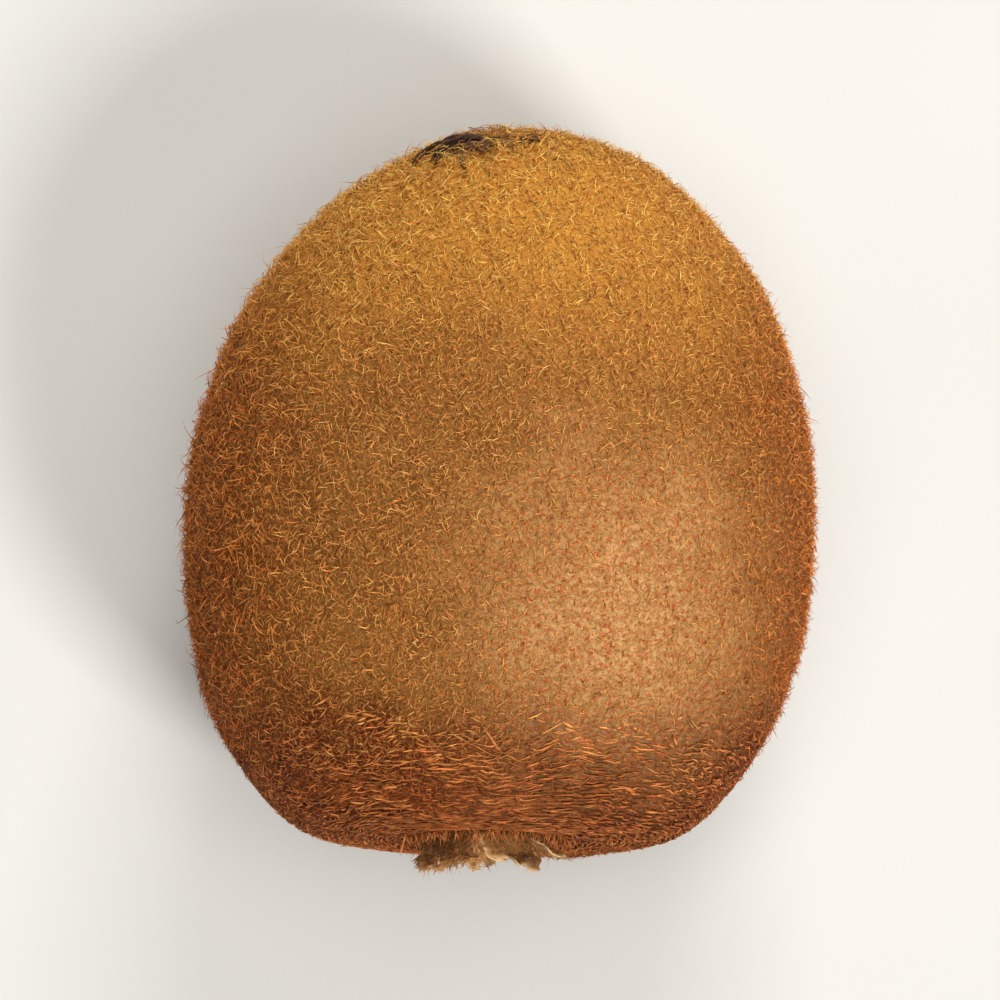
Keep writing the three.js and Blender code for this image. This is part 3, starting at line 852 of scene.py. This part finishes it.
sepal_obs = [sepal(i, *s) for i, s in enumerate(SEPALS)]


def cells(faces_per_item, items):
    """An OFBake layout for items that all have the same faces, each item in a cell of its own."""
    grid = int(math.ceil(math.sqrt(items)))
    cell = np.stack([np.arange(items) % grid, np.arange(items) // grid], -1) / grid
    return grid, cell


hv, hf, hc = joined(sepal_hair)
per_f = 10
count = len(hf) // per_f
grid, cell = cells(per_f, count)
_, _, _, one_uv, _ = hairs(
    np.zeros((1, 3)) + 5, np.array([[0, 0, 1.0]]), np.array([[1.0, 0, 0]]), np.array([[0, 1.0, 0]]),
    np.zeros(1), np.zeros(1), np.zeros(1), np.zeros(1), np.ones(1), np.ones(1) * 0.05, 2,
)
one_uv = one_uv.reshape(per_f, 3, 2)
uv = (cell[:, None, None, :] + one_uv[None] / grid).reshape(-1, 2)
sepal_fuzz = new_mesh("sepal_fuzz", hv * MM, hf, uv)
add_colour(sepal_fuzz, "hcol", np.clip(hc, 0.004, 0.95))
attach(sepal_fuzz, "root")


# ------------------------------------------------------------------ the dried styles
def style_tuft():
    rng = np.random.default_rng(700)
    parts = []

    def strand(cx, cz, direction, length, r0, base, top, tone, sides, steps, swing):
        t = np.linspace(0, 1, steps)
        ang = direction + rng.normal(0, swing) * t + 0.5 * swing * np.sin(t * rng.uniform(3, 7) + rng.random() * 6) * t
        reach = r0 + length * t
        p, n, tv, sv = end_frame(1, cx + reach * np.cos(ang), cz + reach * np.sin(ang), ang)
        h = 0.22 + top * np.sin(np.pi * np.clip(t * rng.uniform(0.7, 1.0) + 0.1, 0, 1)) + rng.normal(0, 0.16) * t**2
        h = np.maximum(h, base * 1.2)
        side = 0.30 * np.sin(t * rng.uniform(2, 11) + rng.random() * 6) * t
        path = p + n * h[:, None] + sv * side[:, None]
        radii = base * (1 - 0.42 * t) * (1 + 0.22 * np.sin(t * 17 + rng.random() * 6))
        if rng.random() < 0.6:
            radii[-3:] *= np.array([1.1, 1.3, 1.15])  # the dried stigma is a little swollen
        v, f = tube(path, radii, sides, squash=rng.uniform(0.45, 1.0))
        shade = mix(0.75, 1.25, noise(v * 1.6, 72))[:, None]
        parts.append((v, f, tone * shade))

    cx, cz = BEAK["x"], BEAK["z"]
    # a lumpy dried boss that the styles grow from
    foot, n0, t0, s0 = (q[0] for q in end_frame(1, np.array([cx]), np.array([cz]), np.array([0.0])))
    rows, cols = 12, 26
    g, a = np.meshgrid(np.linspace(0, math.pi, rows), np.linspace(0, 2 * math.pi, cols, endpoint=False), indexing="ij")
    bv = np.stack([np.sin(g) * np.cos(a), np.sin(g) * np.sin(a), np.cos(g)], -1).reshape(-1, 3)
    bv = bv * (1 + 0.5 * (fbm(bv * 2.4, 3, 71) - 0.5) * 2)[:, None] * np.array([1.05, 0.85, 0.36])
    bv = foot + n0 * 0.22 + bv[:, :1] * t0 + bv[:, 1:2] * s0 + bv[:, 2:] * n0
    bf = []
    for i in range(rows - 1):
        for j in range(cols):
            p, q = i * cols + j, i * cols + (j + 1) % cols
            if i > 0:
                bf.append((p, p + cols, q))
            if i < rows - 2:
                bf.append((q, p + cols, q + cols))
    bf = np.array(bf)
    # each pole's ring becomes one point
    bf = np.where(bf < cols, 0, bf)
    bf = np.where(bf >= (rows - 1) * cols, (rows - 1) * cols, bf)
    parts.append((bv, bf, lin(58, 36, 20) * mix(0.6, 1.5, noise(bv * 2.2, 73))[:, None]))
    # the dried styles lie over to one side in a clump; a few stand loose
    for k in range(40):
        tone = mix(lin(42, 27, 20), lin(130, 92, 68), rng.random() ** 1.9)
        if k < 30:
            direction, length, top = math.radians(rng.normal(176, 19)), rng.uniform(1.1, 4.6), rng.uniform(0.05, 0.85)
        else:
            direction, length, top = rng.random() * 2 * math.pi, rng.uniform(0.8, 1.9), rng.uniform(0.2, 0.6)
        strand(cx, cz, direction, length, rng.uniform(0.15, 0.8), rng.uniform(0.10, 0.22), top, tone, 6, 12, 0.32)
    for k in range(3):  # loose ends that reach past the clump
        strand(cx, cz, math.radians(rng.uniform(160, 200)), rng.uniform(4.6, 5.8), 0.5, 0.11, rng.uniform(0.5, 0.9), lin(62, 40, 24), 6, 12, 0.45)
    # a smaller dark knot of broken ends beside it
    for k in range(9):
        strand(cx + 3.3, cz + 0.5, rng.random() * 2 * math.pi, rng.uniform(0.5, 1.2), rng.uniform(0.05, 0.35), rng.uniform(0.1, 0.16), 0.25, mix(lin(62, 38, 22), lin(112, 70, 38), rng.random()), 6, 7, 0.4)
    # thin dried filaments of the stamens round them
    for k in range(80):
        tone = mix(lin(140, 88, 40), lin(216, 152, 78), rng.random()) * math.exp(rng.normal(0, 0.2))
        strand(cx, cz, rng.random() * 2 * math.pi, rng.uniform(1.0, 2.6), rng.uniform(0.8, 1.8), 0.045, rng.uniform(0.2, 0.7), tone, 4, 7, 0.5)
    v, f, c = joined(parts)
    used = np.unique(f)
    remap = np.zeros(len(v), int)
    remap[used] = np.arange(len(used))
    ob = new_mesh("dried_styles", (v[used] + OFFSET) * MM, remap[f])
    add_colour(ob, "hcol", np.clip(c[used], 0.003, 0.9))
    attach(ob, "root")
    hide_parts("style_tuft")
    return ob


styles_ob = style_tuft()

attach(skin_ob, "root")
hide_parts("fruit")


# ------------------------------------------------------------------ materials
class Nodes:
    def __init__(self, name):
        self.m = bpy.data.materials.new(name)
        self.m.use_nodes = True
        self.t = self.m.node_tree
        self.t.nodes.clear()
        self.out = self.t.nodes.new("ShaderNodeOutputMaterial")
        self.bsdf = self.t.nodes.new("ShaderNodeBsdfPrincipled")
        self.t.links.new(self.bsdf.outputs[0], self.out.inputs[0])
        tc = self.t.nodes.new("ShaderNodeTexCoord")
        sc = self.t.nodes.new("ShaderNodeVectorMath")
        sc.operation = "SCALE"
        self.t.links.new(tc.outputs["Object"], sc.inputs[0])
        sc.inputs["Scale"].default_value = 1000.0
        self.mm = sc.outputs[0]  # object coordinates in millimetres

    def link(self, a, b):
        self.t.links.new(a, b)

    def put(self, socket, value):
        if hasattr(value, "is_output"):
            self.link(value, socket)
        elif hasattr(value, "__len__") and len(value) == 3 and socket.type == "RGBA":
            socket.default_value = (*[float(x) for x in value], 1.0)
        else:
            socket.default_value = value

    def noise(self, scale, detail=2.0, rough=0.5, vector=None):
        n = self.t.nodes.new("ShaderNodeTexNoise")
        self.link(vector or self.mm, n.inputs["Vector"])
        n.inputs["Scale"].default_value = scale
        n.inputs["Detail"].default_value = detail
        n.inputs["Roughness"].default_value = rough
        return n.outputs["Fac"]

    def voronoi(self, scale, feature="F1", random=1.0):
        n = self.t.nodes.new("ShaderNodeTexVoronoi")
        n.feature = feature
        self.link(self.mm, n.inputs["Vector"])
        n.inputs["Scale"].default_value = scale
        n.inputs["Randomness"].default_value = random
        return n

    def math(self, op, a, b=None, clamp=False):
        n = self.t.nodes.new("ShaderNodeMath")
        n.operation = op
        n.use_clamp = clamp
        self.put(n.inputs[0], a)
        if b is not None:
            self.put(n.inputs[1], b)
        return n.outputs[0]

    def ramp(self, value, low, high, to_low=0.0, to_high=1.0):
        n = self.t.nodes.new("ShaderNodeMapRange")
        n.interpolation_type = "SMOOTHSTEP"
        self.put(n.inputs["Value"], value)
        n.inputs["From Min"].default_value = low
        n.inputs["From Max"].default_value = high
        n.inputs["To Min"].default_value = to_low
        n.inputs["To Max"].default_value = to_high
        return n.outputs[0]

    def mix(self, fac, a, b, blend="MIX"):
        n = self.t.nodes.new("ShaderNodeMix")
        n.data_type = "RGBA"
        n.blend_type = blend
        self.put(n.inputs[0], fac)
        self.put(n.inputs[6], a)
        self.put(n.inputs[7], b)
        return n.outputs[2]

    def attr(self, name, colour=False):
        n = self.t.nodes.new("ShaderNodeAttribute")
        n.attribute_name = name
        return n.outputs["Color"] if colour else n.outputs["Fac"]

    def vec(self, op, a, b=None, out=0):
        n = self.t.nodes.new("ShaderNodeVectorMath")
        n.operation = op
        self.put(n.inputs[0], a)
        if op == "SCALE":
            self.put(n.inputs["Scale"], b)
        elif b is not None:
            self.put(n.inputs[1], b)
        return n.outputs["Value"] if op in ("DOT_PRODUCT", "LENGTH") else n.outputs[0]

    def strokes(self, scale, half, width, normal, shift):
        """Short curved strokes lying in the surface, one to each cell: where they are, and a random number each."""
        at = self.vec("ADD", self.mm, (shift, 0.6 * shift, -shift))
        n = self.t.nodes.new("ShaderNodeTexVoronoi")
        self.link(at, n.inputs["Vector"])
        n.inputs["Scale"].default_value = scale
        local = self.vec("SUBTRACT", at, n.outputs["Position"])
        lot = self.vec("SUBTRACT", n.outputs["Color"], (0.5, 0.5, 0.5))
        d = self.vec("NORMALIZE", self.vec("CROSS_PRODUCT", normal, lot))
        e = self.vec("CROSS_PRODUCT", normal, d)
        a = self.vec("DOT_PRODUCT", local, d)
        b = self.vec("DOT_PRODUCT", local, e)
        split = self.t.nodes.new("ShaderNodeSeparateXYZ")
        self.link(lot, split.inputs[0])
        bow = self.math("MULTIPLY", self.math("MULTIPLY", a, a), self.math("MULTIPLY", split.outputs[0], 3.0))
        across = self.math("ABSOLUTE", self.math("ADD", b, bow))
        m = self.math("MULTIPLY", self.ramp(across, 0.45 * width, width, 1.0, 0.0), self.ramp(self.math("ABSOLUTE", a), 0.7 * half, half, 1.0, 0.0))
        return m, self.math("ADD", split.outputs[1], 0.5)

    def bump(self, height, distance, strength=1.0):
        n = self.t.nodes.new("ShaderNodeBump")
        n.inputs["Strength"].default_value = strength
        n.inputs["Distance"].default_value = distance
        self.link(height, n.inputs["Height"])
        self.link(n.outputs[0], self.bsdf.inputs["Normal"])


def skin_material():
    k = Nodes("kiwi_skin")
    stem, gold_and_painted_rim_light, worn_and_painted_sheen = k.attr("stem"), k.attr("gold_and_painted_rim_light"), k.attr("worn_and_painted_sheen")
    crease, scar, basin, beak = k.attr("crease"), k.attr("scar"), k.attr("basin"), k.attr("beak")
    swing = k.math("MULTIPLY", k.noise(1.1, 1.0), 0.5)
    ridge = k.math("SINE", k.math("MULTIPLY", k.math("ADD", k.attr("row"), swing), 2 * math.pi / ROW))
    patches = k.noise(0.22, 1.0)
    mottle = k.noise(1.9, 2.0, 0.6)
    grain = k.noise(7.5, 1.0, 0.6)
    c = k.mix(k.ramp(patches, 0.3, 0.7), lin(122, 77, 29), lin(140, 90, 38))
    c = k.mix(k.math("MULTIPLY", k.ramp(mottle, 0.42, 0.66), 0.4), c, lin(164, 114, 53))
    # painted rim light: the skin is made golden and brighter towards the blossom end
    c = k.mix(k.math("MULTIPLY", gold_and_painted_rim_light, 0.78), c, lin(222, 152, 56))
    # painted shade: darker and redder on the flanks
    c = k.mix(k.math("MULTIPLY", k.attr("flank_painted_shade"), 0.78), c, lin(116, 56, 13))
    leather_and_painted_creases = k.mix(k.ramp(mottle, 0.36, 0.64), lin(97, 39, 10), lin(120, 53, 16))
    # painted shade: darker in the crease valleys
    leather_and_painted_creases = k.mix(k.ramp(crease, 0.34, 0.62), lin(44, 15, 4), leather_and_painted_creases)
    # painted highlight: lighter on the crease ridges
    leather_and_painted_creases = k.mix(k.ramp(crease, 0.66, 0.9), leather_and_painted_creases, lin(152, 81, 31))
    # painted shade: dark lines in the grooves between the rows of matted hair
    leather_and_painted_creases = k.mix(k.ramp(ridge, -0.7, 0.4, 0.62, 0.0), leather_and_painted_creases, lin(48, 17, 5))
    c = k.mix(k.ramp(stem, 0.02, 0.62), c, leather_and_painted_creases)
    # rubbed skin: paler, partly its own colour and partly a painted highlight where the hair is sparse, with the
    # red-brown stubs of the lost hairs
    bare_skin_and_painted_sheen = k.mix(k.ramp(mottle, 0.38, 0.62), lin(184, 131, 77), lin(218, 168, 111))
    c = k.mix(k.math("MULTIPLY", worn_and_painted_sheen, 0.8), c, bare_skin_and_painted_sheen)
    # underfur pressed to the skin: pale strokes over dark ones
    geo = k.t.nodes.new("ShaderNodeNewGeometry")
    normal = geo.outputs["Normal"]
    under, _ = k.strokes(1.7, 0.30, 0.085, normal, 3.1)
    fur1, lot1 = k.strokes(1.35, 0.42, 0.075, normal, 0.0)
    fur2, lot2 = k.strokes(1.9, 0.30, 0.065, normal, 7.7)
    # the pressed strokes are golden where the painted rim light is, and redder towards the stem
    tuft = k.mix(gold_and_painted_rim_light, k.mix(stem, lin(206, 146, 72), lin(158, 86, 36)), lin(236, 168, 70))
    c = k.mix(k.math("MULTIPLY", under, 0.5), c, k.mix(worn_and_painted_sheen, lin(88, 46, 10), lin(146, 86, 40)))
    c = k.mix(k.math("MULTIPLY", fur2, k.ramp(lot2, 0.1, 0.9, 0.15, 0.65)), c, tuft)
    c = k.mix(k.math("MULTIPLY", fur1, k.ramp(lot1, 0.1, 0.9, 0.2, 0.75)), c, tuft)
    stub1, lot3 = k.strokes(1.0, 0.22, 0.12, normal, 13.3)
    stub2, lot4 = k.strokes(1.6, 0.13, 0.08, normal, 23.9)
    marks = k.math("MAXIMUM", k.math("MULTIPLY", stub1, k.ramp(lot3, 0.2, 0.5)), k.math("MULTIPLY", stub2, k.ramp(lot4, 0.3, 0.7)))
    c = k.mix(k.math("MULTIPLY", marks, k.ramp(worn_and_painted_sheen, 0.0, 0.7, 0.35, 0.92)), c, lin(182, 80, 40))
    c = k.mix(k.math("MULTIPLY", grain, 0.28), c, lin(74, 34, 9))
    # painted shade: darker in the hollow of the stem basin
    c = k.mix(k.ramp(basin, 0.1, 0.6, 0.0, 0.8), c, lin(44, 25, 13))
    c = k.mix(k.math("MULTIPLY", beak, 0.45), c, lin(96, 60, 28))
    cork = k.mix(k.ramp(mottle, 0.36, 0.62), lin(66, 44, 28), lin(140, 106, 70))
    c = k.mix(scar, c, cork)
    k.link(c, k.bsdf.inputs["Base Color"])
    rough = k.math("ADD", k.ramp(mottle, 0.3, 0.7, 0.0, 0.12), k.ramp(worn_and_painted_sheen, 0.1, 0.9, 0.72, 0.44))
    rough = k.math("ADD", rough, k.math("MULTIPLY", stem, 0.12))
    k.link(rough, k.bsdf.inputs["Roughness"])
    k.bsdf.inputs["Specular IOR Level"].default_value = 0.10
    h = k.math("ADD", k.math("MULTIPLY", grain, 0.5), k.math("MULTIPLY", fur1, 0.5))
    h = k.math("ADD", h, k.math("MULTIPLY", k.noise(3.2, 2.0), 0.6))
    h = k.math("ADD", h, k.math("MULTIPLY", k.math("MULTIPLY", ridge, stem), 0.35))
    k.bump(h, 0.00022, 1.0)
    return k.m


def hair_material(name, rough, spec):
    k = Nodes(name)
    col = k.attr("hcol", True)
    v = k.noise(1.3, 0.0)
    c = k.mix(k.ramp(v, 0.3, 0.7, 0.0, 0.35), col, lin(120, 62, 26), "MULTIPLY")
    k.link(c, k.bsdf.inputs["Base Color"])
    k.bsdf.inputs["Roughness"].default_value = rough
    k.bsdf.inputs["Specular IOR Level"].default_value = spec
    return k.m


def sepal_material():
    k = Nodes("dried_sepal")
    edge, along, lower_face_pale_and_painted_light, relief = k.attr("edge"), k.attr("along"), k.attr("lower_face_pale_and_painted_light"), k.attr("relief")
    blotch = k.noise(0.9, 3.0)
    fine = k.noise(5.0, 3.0, 0.6)
    c = k.mix(k.ramp(blotch, 0.36, 0.64), lin(110, 68, 30), lin(146, 94, 44))
    c = k.mix(k.ramp(fine, 0.45, 0.7, 0.0, 0.5), c, lin(182, 120, 58))
    # painted shade: darker in the hollows of the crumpled sheet
    c = k.mix(k.ramp(relief, 0.25, 0.5, 0.6, 0.0), c, lin(56, 32, 16))
    c = k.mix(k.math("MULTIPLY", edge, 0.9), c, lin(232, 192, 136))
    # the lower face paler: partly its own colour, partly painted light
    c = k.mix(k.math("MULTIPLY", lower_face_pale_and_painted_light, 0.6), c, lin(188, 134, 76))
    # painted shade: darker at the foot, where the sepal leaves the fruit
    c = k.mix(k.ramp(along, 0.0, 0.25, 0.6, 0.0), c, lin(40, 26, 16))
    k.link(c, k.bsdf.inputs["Base Color"])
    k.link(k.ramp(fine, 0.3, 0.7, 0.62, 0.8), k.bsdf.inputs["Roughness"])
    k.bsdf.inputs["Specular IOR Level"].default_value = 0.3
    h = k.math("ADD", k.math("MULTIPLY", fine, 0.7), k.math("MULTIPLY", k.noise(12.0, 2.0), 0.4))
    k.bump(h, 0.00008, 0.8)
    return k.m


skin_ob.data.materials.append(skin_material())
fuzz_mat = hair_material("kiwi_hair", 0.62, 0.06)
for o in fuzz:
    o.data.materials.append(fuzz_mat)
sep_mat = sepal_material()
for o in sepal_obs:
    o.data.materials.append(sep_mat)
sepal_fuzz.data.materials.append(hair_material("sepal_hair", 0.6, 0.25))
styles_ob.data.materials.append(hair_material("dried_style", 0.6, 0.12))


# ------------------------------------------------------------------ floor, light and camera
def floor():
    me = bpy.data.meshes.new("floor")
    r, sides = 0.8, 160
    ring = [(r * math.cos(2 * math.pi * i / sides), r * math.sin(2 * math.pi * i / sides), 0) for i in range(sides)]
    me.from_pydata(ring, [], [list(range(sides))])
    ob = bpy.data.objects.new("floor", me)
    bpy.context.scene.collection.objects.link(ob)
    ob.location.z = -0.00002
    k = Nodes("pale_floor")
    c = k.mix(k.ramp(k.noise(0.02, 2.0), 0.3, 0.7), lin(205, 203, 198), lin(208, 206, 201))
    k.link(c, k.bsdf.inputs["Base Color"])
    k.bsdf.inputs["Roughness"].default_value = 1.0
    k.bsdf.inputs["Specular IOR Level"].default_value = 0.0
    me.materials.append(k.m)


floor()
centre = Vector((0.0, 0.0, 0.023))


def area(name, direction, distance, size, power, colour, size_y=None):
    data = bpy.data.lights.new(name, "AREA")
    data.energy = power
    data.size = size
    if size_y:
        data.shape = "RECTANGLE"
        data.size_y = size_y
    data.color = colour
    ob = bpy.data.objects.new(name, data)
    bpy.context.scene.collection.objects.link(ob)
    d = Vector(direction).normalized()
    ob.location = centre + d * distance
    ob.rotation_euler = (-d).to_track_quat("-Z", "Y").to_euler()
    return ob


area("overhead", (0.05, -0.05, 1.0), 2.0, 1.3, 22.0, (1.0, 1.0, 0.99))
area("key", (0.54, -0.55, 0.85), 2.2, 0.5, 35.0, (1.0, 0.998, 0.985))
area("rim", (0.2, 0.95, 0.6), 2.0, 0.8, 28.0, (1.0, 0.995, 0.98))
# a pale horizon, and a dimmer room above it
world = bpy.data.worlds.new("studio")
bpy.context.scene.world = world
world.use_nodes = True
wt = world.node_tree
coord = wt.nodes.new("ShaderNodeTexCoord")
split = wt.nodes.new("ShaderNodeSeparateXYZ")
wt.links.new(coord.outputs["Generated"], split.inputs[0])
rise = wt.nodes.new("ShaderNodeMapRange")
rise.interpolation_type = "SMOOTHSTEP"
rise.inputs["From Min"].default_value = 0.10
rise.inputs["From Max"].default_value = 0.38
rise.inputs["To Min"].default_value = 0.80
rise.inputs["To Max"].default_value = 0.12
wt.links.new(split.outputs["Z"], rise.inputs["Value"])
bg = wt.nodes["Background"]
bg.inputs[0].default_value = (1.0, 0.975, 0.93, 1.0)
wt.links.new(rise.outputs[0], bg.inputs[1])

cam_data = bpy.data.cameras.new("camera")
cam = bpy.data.objects.new("camera", cam_data)
bpy.context.scene.collection.objects.link(cam)
cam_data.sensor_width = 36.0
cam_data.lens = 230.0
view_height = 0.084  # what the frame takes in at the fruit, m
dist = view_height * cam_data.lens / cam_data.sensor_width
pitch = math.radians(5.0)  # the fruit's stem end is turned a little towards the camera
look = Vector((0.0, -math.sin(pitch), math.cos(pitch)))
target = Vector((0.0, 0.0, 0.023))
cam.location = target + look * dist
cam.rotation_euler = (pitch, 0.0, 0.0)
cam_data.clip_start = 0.01
cam_data.clip_end = 10.0
bpy.context.scene.camera = cam
bpy.context.scene.view_settings.view_transform = "Standard"
bpy.context.scene.view_settings.exposure = 0.0

_n = {o.name: sum(len(p.vertices) - 2 for p in o.data.polygons) for o in bpy.data.objects if o.type == "MESH" and o.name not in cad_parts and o.name != "floor"}
print("triangles:", _n, "in all", sum(_n.values()))
